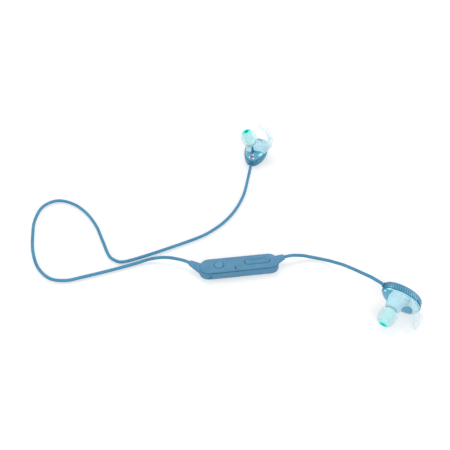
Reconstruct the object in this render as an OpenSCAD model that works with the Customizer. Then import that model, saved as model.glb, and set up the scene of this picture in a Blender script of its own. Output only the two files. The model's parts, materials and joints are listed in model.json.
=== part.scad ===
// Neckband earphones: two in-ear earbuds on one cable that runs through an inline remote.
// Lengths are in millimetres. The origin is the centre of the remote's flat underside,
// +X runs along the remote and +Z is up. Everything lies on the plane z = 0.

/* [Remote casing] */
// Length of the remote's casing
remote_l = 49; // [48:0.5:60]
// Width of the remote's casing
remote_w = 12; // [11.8:0.1:15]
// Height of the bottom casing, up to the parting line
remote_bottom_h = 5.6; // [5.5:0.1:6.5]
// Height of the top casing above the parting line
remote_top_h = 1.4; // [1.3:0.1:1.8]
// Corner radius of the casing in plan
remote_corner_r = 5.5; // [4.8:0.1:5.7]
// Thickness of the side walls
remote_wall = 1.2; // [1.1:0.05:1.4]
// Thickness of the floor
remote_floor = 1; // [0.8:0.1:1.1]
// Thickness of the top wall
remote_top_wall = 0.9; // [0.7:0.1:1]
// Rounding of the bottom edge
remote_edge = 1.4; // [0.8:0.1:1.8]
// Rounding of the top edge
remote_top_edge = 1.1; // [0.4:0.1:1.3]
// How much further the top face stops short of each end
remote_end_slope = 1.2; // [0.4:0.1:2]
// Depth of the top casing's lip inside the bottom casing
lip_h = 0.8; // [0.5:0.1:0.9]
// Thickness of the snap lips
lip_t = 0.6; // [0.4:0.05:0.8]

/* [Buttons] */
// Diameter of the play button
play_d = 5.6; // [5:0.1:6.6]
// Distance of the play button from the casing's left end
play_in = 12; // [10.5:0.5:13.5]
// Length of the volume rocker
rocker_l = 15.2; // [14:0.2:17]
// Width of the volume rocker
rocker_w = 4; // [3:0.1:4.4]
// Distance of the volume rocker's middle from the casing's right end
rocker_in = 13.5; // [13:0.25:14.5]
// Place of the buttons across the remote
button_y = -0.4; // [-0.6:0.1:0.6]
// Height of the buttons above the top face
button_proud = 0.5; // [0.2:0.1:0.9]
// Gap between a button and its opening
button_gap = 0.25; // [0.2:0.05:0.35]
// Travel of the play button
button_travel = 0.3; // [0.2:0.05:0.35]
// Tilt of the volume rocker to each side, in degrees
rocker_tilt = 2.5; // [1.5:0.25:3]
// Width of the play button's retaining flange, beyond the button
flange_w = 0.4; // [0.3:0.05:0.6]
// Diameter of the rocker's trunnions
trunnion_d = 0.9; // [0.8:0.05:1]
// Length of each trunnion
trunnion_l = 0.9; // [0.7:0.05:1]
// Height of the ears' pivot below the top wall
pivot_drop = 0.55; // [0.55:0.05:0.6]

/* [Electronics] */
// Thickness of the circuit board
board_t = 0.6; // [0.5:0.05:0.7]
// Width of the circuit board
board_w = 8.6; // [8:0.1:9]
// Room between each end of the board and the wall
board_end_room = 3.2; // [3.1:0.1:4]
// Diameter of the posts under the board
post_d = 1.6; // [1.2:0.1:1.8]
// Length of the battery cell
battery_l = 16; // [12:0.5:16.5]
// Width of the battery cell
battery_w = 8; // [6:0.25:8.5]
// Thickness of the battery cell
battery_h = 2.5; // [2:0.1:2.6]
// Distance of the battery cell from the casing's right end
battery_in = 7; // [6.75:0.25:8]
// Footprint of a tact switch
switch_size = 3.2; // [2.6:0.1:3.6]
// Height of a tact switch's body
switch_h = 0.6; // [0.5:0.05:0.65]
// Diameter of a tact switch's plunger
plunger_d = 1.5; // [1:0.1:1.8]
// Height of a tact switch's plunger
plunger_h = 0.15; // [0.1:0.05:0.2]
// Distance of the volume switches from the rocker's pivot
switch_reach = 5.5; // [4.5:0.25:6]
// Side of the radio chip
chip_size = 4.5; // [3.5:0.25:5]
// Height of the radio chip
chip_h = 0.8; // [0.6:0.05:1]
// Length of the antenna across the board
antenna_l = 5; // [3:0.5:5.5]
// Side of the microphone
mic_size = 2.4; // [2:0.1:2.8]
// Length of the microphone slot in the top face
mic_slot_l = 2.2; // [1.4:0.1:2.6]
// Width of the microphone slot
mic_slot_w = 0.5; // [0.4:0.05:0.8]

/* [Charging port] */
// Distance of the charging port's middle from the casing's left end
port_in = 13.5; // [12.5:0.25:15.5]
// Outer width of the port
port_w = 7.6; // [7.2:0.1:7.8]
// Outer height of the port
port_h = 2.5; // [2.3:0.05:2.6]
// Depth of the port
port_depth = 5.2; // [4.6:0.1:5.6]
// Thickness of the port's sheet metal
port_wall = 0.35; // [0.3:0.05:0.4]
// Width of the port's tongue
tongue_w = 4.6; // [3.6:0.1:5]
// Length of the cover flap
flap_l = 19.4; // [16:0.2:19.6]
// Height of the cover flap
flap_h = 4.2; // [3.8:0.1:4.4]
// Height of the flap's lower edge above the table
flap_z = 0.9; // [0.8:0.05:1]
// How deep the flap is set into the wall
flap_seat = 0.6; // [0.5:0.05:0.65]
// How far the flap stands proud of the wall
flap_proud = 0.3; // [0.2:0.05:0.5]
// Distance of the flap's free edge from the casing's left end
flap_in = 5.7; // [4.6:0.1:6.1]
// Gap round the flap
flap_gap = 0.1; // [0.08:0.01:0.15]
// Depth of the boss that plugs the port
plug_depth = 0.9; // [0.5:0.1:1]

/* [Cable and boots] */
// Diameter of the cable
cable_d = 2; // [1.6:0.1:2.4]
// Diameter of a boot at its cable end
boot_end_d = 3.1; // [2.8:0.1:3.6]
// Width of the long cable's boot at the casing
long_boot_w = 8.3; // [6:0.1:9]
// Width of the short cable's boot at the casing
short_boot_w = 6.6; // [5:0.1:8]
// Height of a boot at the casing
boot_root_h = 5; // [3.6:0.1:5.4]
// Diameter of a boot's stem in the casing wall
boot_stem_d = 2.3; // [1.8:0.1:2.5]
// Place of the boots' stems across the remote
boot_y = 2.2; // [1.5:0.1:2.4]
// Height of the boots' stems above the table
boot_z = 3.8; // [3.6:0.1:4]
// Diameter of the bushings in the earbuds
bushing_d = 3.2; // [2.8:0.1:3.4]
// How far a bushing stands out of its earbud
bushing_out = 0.4; // [0.2:0.1:1]

/* [Earbud shell] */
// Length of an earbud's oval shell
shell_l = 25.5; // [24.5:0.25:28]
// Width of an earbud's oval shell
shell_w = 15; // [14.6:0.1:17]
// Narrowing of the oval towards the cable, as a share of its width
shell_taper = 0.12; // [0:0.02:0.16]
// Depth of the back cover
cover_h = 4.8; // [4.7:0.1:6]
// Rounding of the back cover's outer edge
cover_edge = 2.2; // [1:0.1:2.6]
// Thickness of the shell's walls
shell_wall = 1; // [0.8:0.05:1.1]
// Height of the front housing's dome above the parting line
dome_h = 4.5; // [4.2:0.1:5]
// Height of the front housing's straight rim
rim_h = 1.2; // [1:0.1:1.5]
// How far the dome draws in from rim to top
dome_draw = 4.6; // [4:0.1:5]
// Step between the back cover and the front housing
reveal = 0.3; // [0.1:0.05:0.5]
// Thickness of the bulkhead that carries the driver
bulkhead_t = 0.8; // [0.6:0.05:1]

/* [Nozzle and driver] */
// Lean of the nozzle to the front of the ear, in degrees
nozzle_lean = 19; // [13:1:22]
// Lean of the nozzle towards the cable, in degrees
nozzle_pitch = 4; // [0:1:8]
// Diameter of the neck under the ear tip
neck_d = 6.4; // [5.8:0.1:7]
// Length of the neck
neck_l = 6.3; // [6:0.1:7.2]
// Diameter of the nozzle inside the ear tip
nozzle_d = 4.8; // [4.4:0.1:5]
// Length of the nozzle inside the ear tip
nozzle_l = 6; // [5:0.1:7]
// Diameter of the sound bore
sound_d = 3.2; // [2.6:0.1:3.4]
// Diameter of the driver
driver_d = 9.8; // [9:0.1:10]
// Depth of the driver
driver_h = 3; // [2.6:0.1:3.2]
// Diameter of the driver's magnet
magnet_d = 6.2; // [5:0.1:6.6]
// Thickness of the diaphragm
diaphragm_t = 0.2; // [0.1:0.05:0.3]
// Diameter of the side marker
marker_d = 2.4; // [1.8:0.1:2.8]

/* [Ear tip and fin] */
// Diameter of the ear tip
tip_d = 11; // [10:0.1:13]
// Length of the ear tip
tip_l = 9.8; // [9:0.1:12]
// Thickness of the ear tip's dome
tip_wall = 0.7; // [0.5:0.05:0.9]
// Wall of the ear tip's core round the nozzle
core_wall = 0.7; // [0.5:0.05:0.8]
// Diameter of the hole in the ear tip's end
tip_hole_d = 2.8; // [2.2:0.1:3.2]
// Diameter of the fin's base at the housing
fin_base_d = 9.4; // [9:0.1:10.6]
// How far the fin's base reaches further towards the cable
fin_base_shift = 0.7; // [0.4:0.1:1.4]
// Diameter of the fin's base at the ear tip
fin_top_d = 8.2; // [7.8:0.1:9]
// Diameter of the sleeve that the fin spreads over the dome
sleeve_d = 11.8; // [10.6:0.2:13]
// Thickness of the sleeve
sleeve_t = 0.7; // [0.5:0.05:0.9]
// Diameter of the fin's shoulder, where the wing starts
fin_shoulder_d = 6.4; // [5:0.1:7]
// Width of the wing at its root
wing_root_w = 6; // [4.8:0.1:6.6]
// Width of the wing at its free end
wing_end_w = 2.4; // [1.8:0.1:3]
// Thickness of the wing, as a share of its width
wing_flat = 0.75; // [0.6:0.05:0.9]

/* [Hidden] */

// Clearance of pieces that are fixed together
fit_gap = 0.05;
// Radial clearance of pieces that turn or slide
run_gap = 0.05;
// Clearance between neighbours that never touch
part_gap = 0.2;
// Overshoot that keeps cut faces apart
eps = 0.02;
// Smoothness of round pieces
$fn = 48;

// Where the earbuds lie
right_place = [28.8, 111.2];
right_turn = 24;
left_place = [87.9, -45.2, 9.33];
left_turn = [-100.2, 61.2, 142.9];

// Routes of the cables, from the remote to the earbuds
long_route = [
    [-27.9, 5.5, 4], [-34, 9.3, 4.6], [-43.5, 13.9, 3.7], [-53, 15.5, 2.1], [-62, 14, 1.1],
    [-76.5, 10.5, 1], [-96, 6.5, 1], [-105.5, 5.2, 1], [-115, 8.3, 1], [-122, 18.4, 1],
    [-125.4, 32.6, 1], [-126, 47.6, 1], [-125, 62.8, 1], [-120, 76, 1], [-110.4, 81, 1],
    [-100, 76.2, 1], [-91.6, 65.8, 1], [-85.6, 52.3, 1], [-82, 37.8, 1], [-78.6, 23.6, 1],
    [-75, 18.5, 1], [-70.4, 16.5, 1], [-60.4, 18.6, 1], [-41.3, 24.7, 1], [-21.2, 32, 1],
    [-11.3, 37.6, 1], [-1.8, 45.6, 1], [6.8, 56.6, 1], [14, 70.4, 1], [19.2, 85.7, 1.7],
    [23.8, 100, 2.8]
];
short_route = [
    [26.8, 3.5, 4], [32.7, 4.1, 4.4], [37.5, 4.5, 3.6], [41.8, 4.5, 2.6], [45.5, 4, 1.6],
    [49.5, 2.8, 1.1], [53, 0.6, 1.6], [56.2, -3, 3.4], [59, -7.7, 6], [61.4, -13, 9.2],
    [63.5, -19, 12.6], [65.2, -24.5, 15.8], [67.2, -29.7, 18.4], [69.3, -33.2, 19.6],
    [72.2, -35.5, 19.2], [75.4, -37, 17.5], [79.2, -38.8, 15.3]
];

// Places along the remote, from its left and right ends
left_end = -remote_l / 2;
right_end = remote_l / 2;
play_x = left_end + play_in;
rocker_x = right_end - rocker_in;
battery_x = right_end - battery_in - battery_l / 2;
port_x = left_end + port_in;
flap_x = left_end + flap_in;

// Levels inside the remote, from the floor up
remote_h = remote_bottom_h + remote_top_h;
board_z = remote_floor + max(port_h, battery_h) + part_gap;
board_top = board_z + board_t;
plunger_top = board_top + switch_h + plunger_h;
ceiling_z = remote_h - remote_top_wall;
button_low = plunger_top + button_travel + fit_gap;
pivot_z = ceiling_z - pivot_drop;
rocker_low = plunger_top + (switch_reach + plunger_d / 2) * sin(rocker_tilt) + fit_gap;
ear_wall = 0.5;
ear_r = trunnion_d / 2 + run_gap + ear_wall;
ear_y = rocker_w / 2 + button_gap;
flange_d = play_d + 2 * (button_gap + flange_w);
lip_in = remote_wall + fit_gap;
board_l = remote_l - 2 * (remote_wall + board_end_room);
front_y = -remote_w / 2;
port_y = front_y + flap_seat + flap_gap;
port_z = board_z - port_h / 2;
flap_corner_r = 0.8;
notch_d = 1.6;
notch_z = flap_z + 0.36 * flap_h;
tongue_t = 0.6;
tongue_room = 0.4;
board_corner_r = 1;

// Small pieces on the board, beside the play button
mic_step = 9.7;
mic_place = [play_x + mic_step, -2.7];
mic_h = 0.9;
mic_slot_place = [mic_place[0], -4];
chip_step = 9;
chip_place = [play_x + chip_step, 1.8];
antenna_place = [1.5 - board_l / 2, 0];
antenna_w = 1.6;
antenna_h = 0.5;

// Boots: how far the root reaches into the casing's form, and the stem with its collar
long_root_in = 3.8;
short_root_in = 2;
boot_out = 0.6;
stem_l = 4.2;
collar_l = 1;
boot_collar_d = boot_stem_d + 0.6;
long_boot_reach = 5;
long_boot_root = [left_end + long_root_in, -0.7, 3.2];
long_boot_end = [left_end - long_boot_reach, 6.7, 4.2];
short_boot_reach = 4;
short_boot_root = [right_end - short_root_in, 1.9, 3.6];
short_boot_end = [right_end + short_boot_reach, 3.8, 4.2];

// Levels of an earbud, from its parting plane
dome_rise = dome_h - rim_h;
driver_y = -0.5;
bushing_z = -2;
nozzle_base = [-0.9, -2.3, 3];
nozzle_turn = [nozzle_pitch, -nozzle_lean, 0];
core_r = nozzle_d / 2 + run_gap + core_wall;
tip_back = neck_l + part_gap;
tip_skirt = tip_back + 0.5;
tip_belly = 0.4 * tip_l;
tip_power = 2.4;
skirt_draw = 0.07;
bushing_l = 3.5;
cable_seat = 1.5;
ring_h = 0.8;
mesh_d = sound_d + 0.6;
mesh_t = 0.3;
mesh_seat = 0.5;
frame_floor = 0.4;
frame_wall = 1;
magnet_h = 1.4;
coil_h = 1;
coil_t = 0.3;
marker_turn = 44;
marker_seat = 0.5;
marker_t = 0.6;
egg_points = 36;

// Line of the wing from the fin's shoulder to its free end, and the shoulder's place
wing_line = [[4.4, -2.6, 4.8], [12, 1.2, 7.6], [10.8, 8.6, 12.6], [-1.8, 13.9, 12.1]];
wing_foot = 0.25;
wing_foot_d = 0.9 * wing_root_w;
wing_tip_round = 0.5;
fin_foot = 0.5;
fin_rim = 0.6;
shoulder_place = [4.9, -1.2, 2.4];
shoulder_h = 3.4;
sleeve_place = [2.6, -2.9, 1.9];
sleeve_h = 4;

// Outlines, rings and skins
function rounded_rect(l, w, r, n = 6) = [
    for (k = [0:3], i = [0:n])
        let (a = 90 * (k + i / n), sx = k == 0 || k == 3 ? 1 : -1, sy = k < 2 ? 1 : -1)
            [sx * (l / 2 - r) + r * cos(a), sy * (w / 2 - r) + r * sin(a)]
];
function casing_outline(inset, slope = 0) =
    rounded_rect(remote_l - 2 * (inset + slope), remote_w - 2 * inset, remote_corner_r - inset);
function egg(inset) = [
    for (i = [0:egg_points - 1])
        let (a = 360 * i / egg_points)
            [(shell_w / 2 - inset) * cos(a) * (1 + shell_taper * sin(a)), (shell_l / 2 - inset) * sin(a)]
];
function lifted(outline, z) = [for (p = outline) [p[0], p[1], z]];

// Solid through a row of rings with equally many points
module skin(rings) {
    n = len(rings[0]);
    last = len(rings) - 1;
    polyhedron(
        points = [for (r = rings, p = r) p],
        faces = concat(
            [[for (i = [0:n - 1]) i]],
            [[for (i = [n - 1:-1:0]) last * n + i]],
            [for (k = [0:last - 1], i = [0:n - 1]) [k * n + i, (k + 1) * n + i, (k + 1) * n + (i + 1) % n]],
            [for (k = [0:last - 1], i = [0:n - 1])
                [k * n + i, (k + 1) * n + (i + 1) % n, k * n + (i + 1) % n]]
        )
    );
}
module prism(outline, low, high) {
    translate([0, 0, low]) linear_extrude(high - low) polygon(outline);
}
module block(size, low) {
    translate([-size[0] / 2, -size[1] / 2, low]) cube(size);
}

// Sweeps along a route
function unit(v) = v / norm(v);
function tangent(path, i) = unit(path[min(i + 1, len(path) - 1)] - path[max(i - 1, 0)]);
function oval_ring(centre, along, half_w, half_h, sides) =
    let (side = unit(cross([0, 0, 1], along)), top = cross(along, side))
        [for (j = [0:sides - 1])
            let (a = 360 * (j + 0.5) / sides) centre + half_w * cos(a) * side + half_h * sin(a) * top];
function spline_point(p, i, t) =
    let (n = len(p) - 1, a = p[max(i - 1, 0)], b = p[i], c = p[min(i + 1, n)], d = p[min(i + 2, n)])
        0.5 * (2 * b + (c - a) * t + (2 * a - 5 * b + 4 * c - d) * t * t
            + (3 * b - a - 3 * c + d) * t * t * t);
function fine_route(p, steps) = concat(
    [for (i = [0:len(p) - 2], k = [0:steps - 1]) spline_point(p, i, k / steps)],
    [p[len(p) - 1]]
);
module cord(route, steps) {
    path = fine_route(route, steps);
    r = cable_d / 2;
    skin([for (i = [0:len(path) - 1]) oval_ring(path[i], tangent(path, i), r, r, 8)]);
}

// Remote casing
module casing_bottom_form(grow = 0) {
    steps = 4;
    skin(concat(
        [for (k = [0:steps])
            let (a = 90 * k / steps)
                lifted(casing_outline(remote_edge * (1 - sin(a)) - grow), remote_edge * (1 - cos(a)) - grow)],
        [lifted(casing_outline(-grow), remote_bottom_h)]
    ));
}
module casing_top_form(grow = 0) {
    steps = 4;
    skin(concat(
        [lifted(casing_outline(-grow), remote_bottom_h)],
        [for (k = [0:steps])
            let (a = 90 * k / steps, in = remote_top_edge * (1 - cos(a)))
                lifted(casing_outline(in - grow, remote_end_slope * k / steps),
                    remote_h - remote_top_edge * (1 - sin(a)) + grow)]
    ));
}
module stem_bores(d) {
    for (s = [-1, 1])
        translate([s * remote_l / 2, boot_y, boot_z]) rotate([0, 90, 0])
            cylinder(h = 2 * stem_l, d = d + 2 * fit_gap, center = true);
}
module flap_outline(grow) {
    translate([flap_x + flap_l / 2, flap_z + flap_h / 2])
        polygon(rounded_rect(flap_l + 2 * grow, flap_h + 2 * grow, flap_corner_r + grow, 4));
}
module on_front(depth) {
    translate([0, front_y + depth, 0]) rotate([90, 0, 0]) children();
}
module port_opening() {
    translate([port_x, front_y + remote_wall, port_z])
        cube([port_w + 2 * part_gap, 2 * remote_wall + eps, port_h + 2 * part_gap], center = true);
}
module nail_notch() {
    translate([flap_x, front_y, notch_z]) sphere(d = notch_d);
}
module remote_bottom_casing() color("steelblue") {
    difference() {
        casing_bottom_form();
        prism(casing_outline(remote_wall), remote_floor, remote_bottom_h + eps);
        on_front(flap_seat + flap_gap) linear_extrude(flap_seat + remote_wall) flap_outline(flap_gap);
        port_opening();
        nail_notch();
        stem_bores(boot_stem_d);
    }
    for (x = [-1, 1], y = [-1, 1])
        translate([x * (board_l / 2 - post_d), y * (board_w / 2 - post_d / 2 - fit_gap), remote_floor - eps])
            cylinder(h = board_z - remote_floor + eps, d = post_d);
}
module rocker_outline(grow) {
    polygon(rounded_rect(rocker_l + 2 * grow, rocker_w + 2 * grow, rocker_w / 2 + grow - eps, 8));
}
module ear(side) {
    translate([rocker_x, button_y + side * ear_y, pivot_z]) rotate([-90 * side, 0, 0])
        difference() {
            union() {
                cylinder(h = trunnion_l, r = ear_r);
                translate([-ear_r, side > 0 ? -pivot_drop - eps : -eps, 0])
                    cube([2 * ear_r, pivot_drop + 2 * eps, trunnion_l]);
            }
            translate([0, 0, -eps]) cylinder(h = trunnion_l + 2 * eps, d = trunnion_d + 2 * run_gap);
        }
}
module remote_top_casing() color("steelblue") {
    difference() {
        union() {
            casing_top_form();
            prism(casing_outline(lip_in), remote_bottom_h - lip_h, remote_bottom_h + eps);
        }
        prism(casing_outline(lip_in + lip_t), 0, ceiling_z);
        translate([play_x, button_y, 0]) cylinder(h = remote_h + 1, d = play_d + 2 * button_gap);
        translate([play_x, button_y, 0]) cylinder(h = ceiling_z, d = flange_d + 2 * button_gap);
        translate([rocker_x, button_y, 0]) linear_extrude(remote_h + 1) rocker_outline(button_gap);
        translate(mic_slot_place) block([mic_slot_w, mic_slot_l, remote_h + 1], 0);
        stem_bores(boot_collar_d);
    }
    ear(1);
    ear(-1);
}

// Buttons
module play_button() color("steelblue") translate([play_x, button_y, 0]) {
    translate([0, 0, button_low])
        cylinder(h = ceiling_z - fit_gap - button_low, d = flange_d);
    translate([0, 0, button_low]) cylinder(h = remote_h + button_proud - button_low, d = play_d);
}
module volume_rocker() color("steelblue") translate([rocker_x, button_y, 0]) {
    translate([0, 0, rocker_low]) linear_extrude(remote_h + button_proud - rocker_low) rocker_outline(0);
    translate([0, 0, pivot_z]) rotate([90, 0, 0])
        cylinder(h = 2 * (ear_y + trunnion_l), d = trunnion_d, center = true);
}
module charge_flap() color("steelblue") {
    on_front(flap_seat) linear_extrude(flap_seat + flap_proud) flap_outline(0);
    translate([port_x, port_y - flap_gap, port_z])
        translate([0, plug_depth / 2, 0])
            cube([port_w - 4 * port_wall, plug_depth + flap_gap, port_h - 4 * port_wall], center = true);
}

// Electronics
module on_board(place) {
    translate([place[0], place[1], board_top]) children();
}
module circuit_board() color("darkgreen")
    prism(rounded_rect(board_l, board_w, board_corner_r), board_z, board_top);
module battery_cell() color("silver") translate([battery_x, 0, 0])
    prism(rounded_rect(battery_l, battery_w, board_corner_r), remote_floor, remote_floor + battery_h);
module charging_port_shell() color("silver") translate([port_x, port_y, port_z]) {
    difference() {
        translate([-port_w / 2, 0, -port_h / 2]) cube([port_w, port_depth, port_h]);
        translate([-port_w / 2 + port_wall, -eps, -port_h / 2 + port_wall])
            cube([port_w - 2 * port_wall, port_depth - port_wall + eps, port_h - 2 * port_wall]);
    }
}
module charging_port_tongue() color("black") {
    start = port_y + plug_depth + tongue_room;
    back = port_y + port_depth - port_wall;
    translate([port_x - tongue_w / 2, start, port_z]) cube([tongue_w, back - start, tongue_t]);
}
module tact_switch() {
    block([switch_size, switch_size, switch_h], 0);
    translate([0, 0, switch_h - eps]) cylinder(h = plunger_h + eps, d = plunger_d);
}
module play_switch() color("dimgray") on_board([play_x, button_y]) tact_switch();
module volume_up_switch() color("dimgray") on_board([rocker_x + switch_reach, button_y]) tact_switch();
module volume_down_switch() color("dimgray") on_board([rocker_x - switch_reach, button_y]) tact_switch();
module radio_chip() color("black") on_board(chip_place) block([chip_size, chip_size, chip_h], 0);
module antenna() color("white") on_board(antenna_place) block([antenna_w, antenna_l, antenna_h], 0);
module microphone() color("gold") on_board(mic_place) block([mic_size, mic_size, mic_h], 0);

// Cable boots: a flare that leaves the casing at its back corner, and a stem through the wall
module rod(a, b, d) {
    v = b - a;
    translate(a) rotate([0, acos(v[2] / norm(v)), atan2(v[1], v[0])]) cylinder(h = norm(v), d = d);
}
module boot(side, root, end, root_w, route) {
    steps = 6;
    axis = unit(end - root);
    difference() {
        skin([for (k = [0:steps])
            let (t = k / steps, w = root_w + (boot_end_d - root_w) * t,
                h = boot_root_h + (boot_end_d - boot_root_h) * t)
                oval_ring(root + (end - root) * t, axis, w / 2, h / 2, 16)]);
        casing_bottom_form(fit_gap);
        casing_top_form(fit_gap);
        rod(route[0], route[1], cable_d);
    }
    translate([side * (remote_l / 2 + boot_out), boot_y, boot_z]) rotate([0, -90 * side, 0]) {
        cylinder(h = stem_l, d = boot_stem_d);
        translate([0, 0, stem_l - collar_l]) cylinder(h = collar_l, d = boot_collar_d);
    }
}
module long_cable_boot() color("steelblue")
    boot(-1, long_boot_root, long_boot_end, long_boot_w, long_route);
module short_cable_boot() color("steelblue")
    boot(1, short_boot_root, short_boot_end, short_boot_w, short_route);

// Earbud shell, in the earbud's own frame: the cable leaves at -Y and the nozzle points to +Z
module along_nozzle(s) {
    translate(nozzle_base) rotate(nozzle_turn) translate([0, 0, s]) children();
}
module along_bushing() {
    translate([0, -shell_l / 2 - bushing_out, bushing_z]) rotate([-90, 0, 0]) children();
}
module bushing_bore() {
    along_bushing() cylinder(h = bushing_out + bushing_l + part_gap, d = bushing_d + 2 * fit_gap);
}
module back_cover() color("steelblue") difference() {
    steps = 4;
    skin(concat(
        [for (k = [0:steps])
            let (a = 90 * k / steps)
                lifted(egg(cover_edge * (1 - sin(a))), cover_edge * (1 - cos(a)) - cover_h)],
        [lifted(egg(0), 0)]
    ));
    prism(egg(shell_wall), shell_wall - cover_h, eps);
    bushing_bore();
}
function dome_inset(a) = reveal + dome_draw * (1 - cos(a));
function dome_z(a) = rim_h + dome_rise * sin(a);
module dome_form(grow = 0, low = 0) {
    steps = 6;
    skin(concat(
        [lifted(egg(reveal - grow), low)],
        [for (k = [0:steps]) let (a = 90 * k / steps) lifted(egg(dome_inset(a) - grow), dome_z(a) + grow)]
    ));
}
module at_marker(sink) {
    a = marker_turn;
    tilt = atan2(dome_rise * cos(a), dome_draw * sin(a));
    translate([0, dome_inset(a) - shell_l / 2, dome_z(a)]) rotate([tilt, 0, 0])
        translate([0, 0, -sink]) children();
}
module front_housing(marked) color("darkturquoise") difference() {
    ring_d = driver_d + 2 * fit_gap;
    lip = shell_wall + fit_gap;
    union() {
        dome_form();
        along_nozzle(0) cylinder(h = neck_l, d = neck_d);
        along_nozzle(neck_l - eps) cylinder(h = nozzle_l + eps, d = nozzle_d);
        translate([0, driver_y, ring_h - driver_h]) cylinder(h = driver_h, d = ring_d + 2 * lip_t);
        difference() {
            prism(egg(lip), -lip_h, eps);
            prism(egg(lip + lip_t), -lip_h - eps, 0);
        }
    }
    dome_form(-shell_wall, bulkhead_t);
    translate([0, driver_y, -driver_h]) cylinder(h = driver_h, d = ring_d);
    translate([0, driver_y, -eps]) cylinder(h = bulkhead_t + 2 * eps, d = driver_d - 2 * coil_h);
    along_nozzle(-1) cylinder(h = neck_l + nozzle_l + 2, d = sound_d);
    along_nozzle(neck_l + nozzle_l - mesh_seat) cylinder(h = 1, d = mesh_d);
    bushing_bore();
    if (marked) at_marker(marker_seat) cylinder(h = 2, d = marker_d + 2 * fit_gap);
}
module side_marker() color("crimson") at_marker(marker_seat) cylinder(h = marker_t, d = marker_d);
module cable_bushing() color("midnightblue") along_bushing() difference() {
    cylinder(h = bushing_out + bushing_l, d = bushing_d);
    translate([0, 0, -eps]) cylinder(h = cable_seat, d = cable_d);
}

// Driver
module at_driver() {
    translate([0, driver_y, -driver_h]) children();
}
module driver_frame() color("silver") at_driver() difference() {
    cylinder(h = driver_h, d = driver_d);
    translate([0, 0, frame_floor]) cylinder(h = driver_h, d = driver_d - 2 * frame_wall);
    translate([0, 0, driver_h - 2 * diaphragm_t]) cylinder(h = 1, d = driver_d - frame_wall);
}
module driver_magnet() color("dimgray") at_driver() translate([0, 0, frame_floor])
    cylinder(h = magnet_h, d = magnet_d);
module voice_coil() color("peru") at_driver() translate([0, 0, driver_h - 2 * diaphragm_t - coil_h])
    difference() {
        inner_d = magnet_d + 4 * fit_gap;
        cylinder(h = coil_h, d = inner_d + 2 * coil_t);
        translate([0, 0, -eps]) cylinder(h = coil_h + 2 * eps, d = inner_d);
    }
module diaphragm() color("gainsboro") at_driver() translate([0, 0, driver_h - 2 * diaphragm_t])
    cylinder(h = diaphragm_t, d = driver_d - frame_wall - 2 * fit_gap);
module nozzle_mesh() color("darkslategray") along_nozzle(neck_l + nozzle_l - mesh_seat)
    cylinder(h = mesh_t, d = mesh_d - 2 * fit_gap);

// Ear tip
function tip_radius(z, r, l) =
    z < tip_belly ? r * (1 - skirt_draw * pow(1 - z / tip_belly, 2))
                  : r * pow(1 - pow((z - tip_belly) / (l - tip_belly), tip_power), 1 / tip_power);
function tip_height(rad, r, l) =
    tip_belly + (l - tip_belly) * pow(1 - pow(rad / r, tip_power), 1 / tip_power);
module ear_tip_core() color("mediumturquoise") along_nozzle(tip_back) difference() {
    top = tip_height(core_r, tip_d / 2, tip_l) + tip_skirt - tip_back;
    cylinder(h = top, r = core_r);
    translate([0, 0, -eps]) cylinder(h = nozzle_l + eps, d = nozzle_d + 2 * run_gap);
    cylinder(h = top + 1, d = tip_hole_d);
}
module ear_tip_dome() color("paleturquoise") along_nozzle(tip_skirt) {
    r = tip_d / 2;
    inner_r = r - tip_wall;
    inner_l = tip_l - tip_wall;
    high = tip_height(core_r, r, tip_l);
    inner_high = tip_height(core_r, inner_r, inner_l);
    steps = 9;
    rotate_extrude() polygon(concat(
        [for (k = [0:steps])
            let (z = high * sin(90 * k / steps)) [k == steps ? core_r : tip_radius(z, r, tip_l), z]],
        [for (k = [steps:-1:0])
            let (z = inner_high * sin(90 * k / steps))
                [k == steps ? core_r : tip_radius(z, inner_r, inner_l), z]]
    ));
}

// Fin: a soft collar round the neck with a shoulder, a sleeve over the dome and a wing that hooks over the far end
function bezier(p, t) =
    pow(1 - t, 3) * p[0] + 3 * pow(1 - t, 2) * t * p[1] + 3 * (1 - t) * t * t * p[2] + pow(t, 3) * p[3];
module wing() {
    steps = 14;
    path = [for (k = [0:steps]) bezier(wing_line, k / steps)];
    skin([for (k = [0:steps])
        let (t = k / steps, w = wing_root_w + (wing_end_w - wing_root_w) * t,
            round_end = k == steps ? wing_tip_round : 1)
            oval_ring(path[k], tangent(path, k), round_end * wing_flat * w / 2, round_end * w / 2, 12)]);
}
module ear_fin() color("paleturquoise") {
    difference() {
        union() {
            hull() {
                along_nozzle(fin_foot) translate([0, -fin_base_shift, 0])
                    cylinder(h = fin_rim, d = fin_base_d, $fn = 32);
                along_nozzle(neck_l - 2 * fin_rim) cylinder(h = fin_rim, d = fin_top_d, $fn = 32);
                translate(shoulder_place) cylinder(h = shoulder_h, d = fin_shoulder_d, $fn = 32);
                translate(bezier(wing_line, wing_foot)) sphere(d = wing_foot_d, $fn = 24);
            }
            wing();
            intersection() {
                dome_form(sleeve_t);
                translate(sleeve_place) cylinder(h = sleeve_h, d = sleeve_d, $fn = 48);
            }
        }
        dome_form(fit_gap);
        along_nozzle(0) cylinder(h = neck_l + 1, d = neck_d + 2 * fit_gap);
    }
}

// Poses of the two earbuds as they lie on the table
module right_pose() {
    translate([right_place[0], right_place[1], cover_h]) rotate([0, 0, -right_turn]) children();
}
module left_pose() {
    translate(left_place) rotate(left_turn) mirror([1, 0, 0]) children();
}

// Cables
module long_cable() color("steelblue") cord(long_route, 2);
module short_cable() color("steelblue") cord(short_route, 1);

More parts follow.
